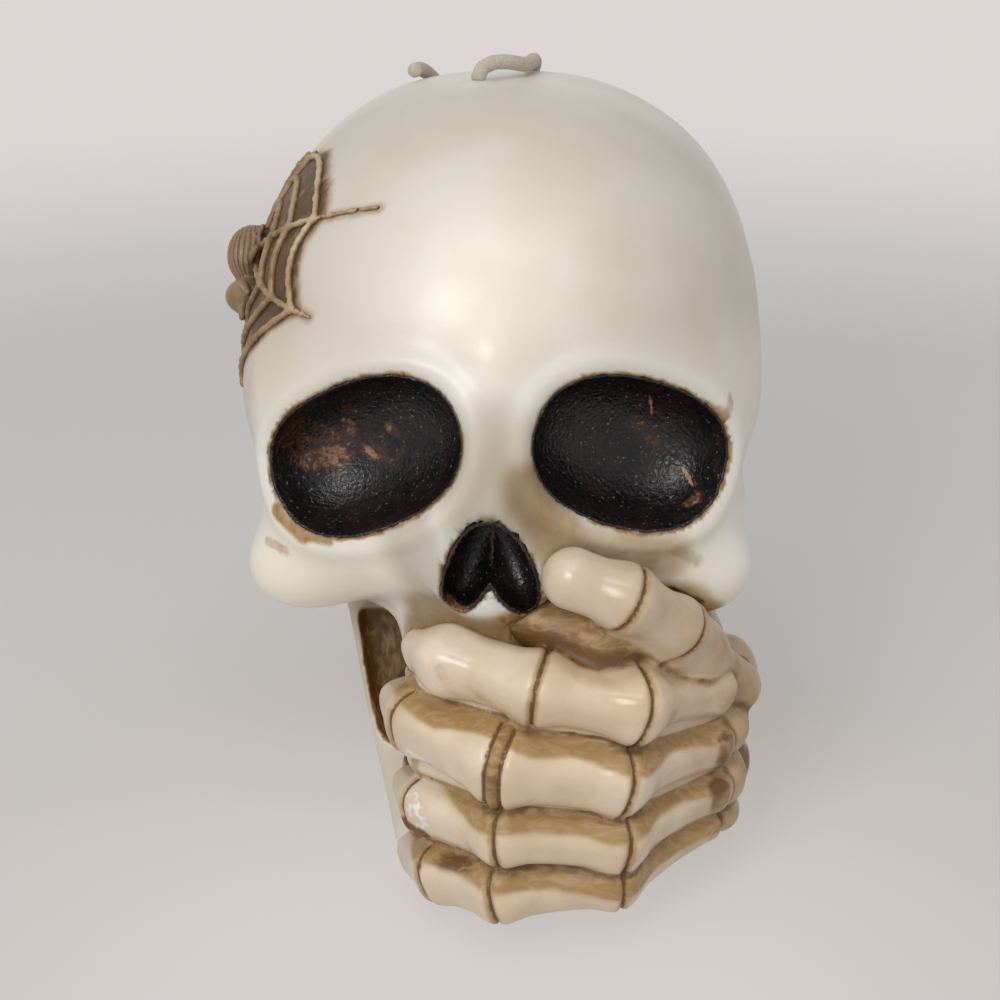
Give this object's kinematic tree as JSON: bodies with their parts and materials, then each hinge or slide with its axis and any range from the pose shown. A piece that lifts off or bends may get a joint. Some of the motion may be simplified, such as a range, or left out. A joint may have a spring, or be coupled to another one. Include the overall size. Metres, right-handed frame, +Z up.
{
  "type": "skull candle",
  "caption": "Cast wax candle shaped as a skull, with a bony hand laid over its mouth, a web and a spider on its temple, lacquered sockets and a loose wick.",
  "frame": {"origin": "on the flat base, in the middle plane of the face, under the middle of the head", "axes": "+Z up, -Y out of the face, +X to the right of someone looking at the face"},
  "size_m": [0.0731, 0.0976, 0.1082],
  "materials": {
    "skull_wax": "milky cream wax with a soft sheen and a brown wash in its hollows",
    "hand_wax": "pinkish beige wax, rubbed with brown in its grooves",
    "web_wax": "pale wax threads over a brown wash",
    "lacquer": "black-brown speckled lacquer, worn amber at its edge",
    "cotton": "braided cotton, waxed and grey-beige"
  },
  "bodies": {
    "root": {"skull_body": "skull_wax", "hand": "hand_wax", "spider_web": "web_wax", "spider": "hand_wax", "left_eye_lacquer": "lacquer", "right_eye_lacquer": "lacquer", "nose_lacquer": "lacquer", "wick_core": "cotton", "wick_tail": "cotton"}
  },
  "joints": []
}
